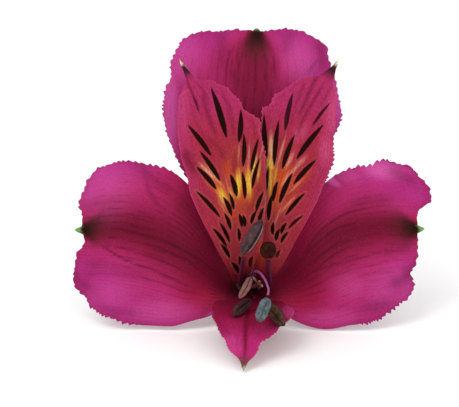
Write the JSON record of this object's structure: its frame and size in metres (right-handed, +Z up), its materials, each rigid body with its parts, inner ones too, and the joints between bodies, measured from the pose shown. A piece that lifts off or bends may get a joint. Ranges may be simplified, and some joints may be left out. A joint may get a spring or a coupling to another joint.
{
  "type": "alstroemeria bloom",
  "caption": "Cut alstroemeria bloom lying on its short stalk, pink toothed outer tepals, narrow streaked inner tepals, stamens with loose anthers and a ribbed ovary.",
  "frame": {"origin": "on the surface that the bloom lies on, under the middle of its outer box", "axes": "+Y from the open face back towards the cut end of the stalk, +X to the right of the face, +Z up"},
  "size_m": [0.0709, 0.0998, 0.0569],
  "materials": {
    "outer_tepal_top": "soft petal tissue, satin",
    "outer_tepal_left": "soft petal tissue, satin",
    "outer_tepal_right": "soft petal tissue, satin",
    "inner_tepal_left": "soft petal tissue, satin",
    "inner_tepal_right": "soft petal tissue, satin",
    "inner_tepal_lower": "soft petal tissue, satin",
    "filament": "smooth plant tissue",
    "anther": "dry, powdery",
    "style": "smooth plant tissue",
    "stalk": "green stem, satin"
  },
  "bodies": {
    "root": {"tepal_outer_top": "outer_tepal_top", "tepal_outer_left": "outer_tepal_left", "tepal_outer_right": "outer_tepal_right", "tepal_inner_left": "inner_tepal_left", "tepal_inner_right": "inner_tepal_right", "tepal_inner_lower": "inner_tepal_lower", "filament_1": "filament", "filament_2": "filament", "filament_3": "filament", "filament_4": "filament", "filament_5": "filament", "filament_6": "filament", "anther_1": "anther", "anther_2": "anther", "anther_3": "anther", "anther_4": "anther", "anther_5": "anther", "anther_6": "anther", "style": "style", "stalk": "stalk"}
  },
  "joints": []
}
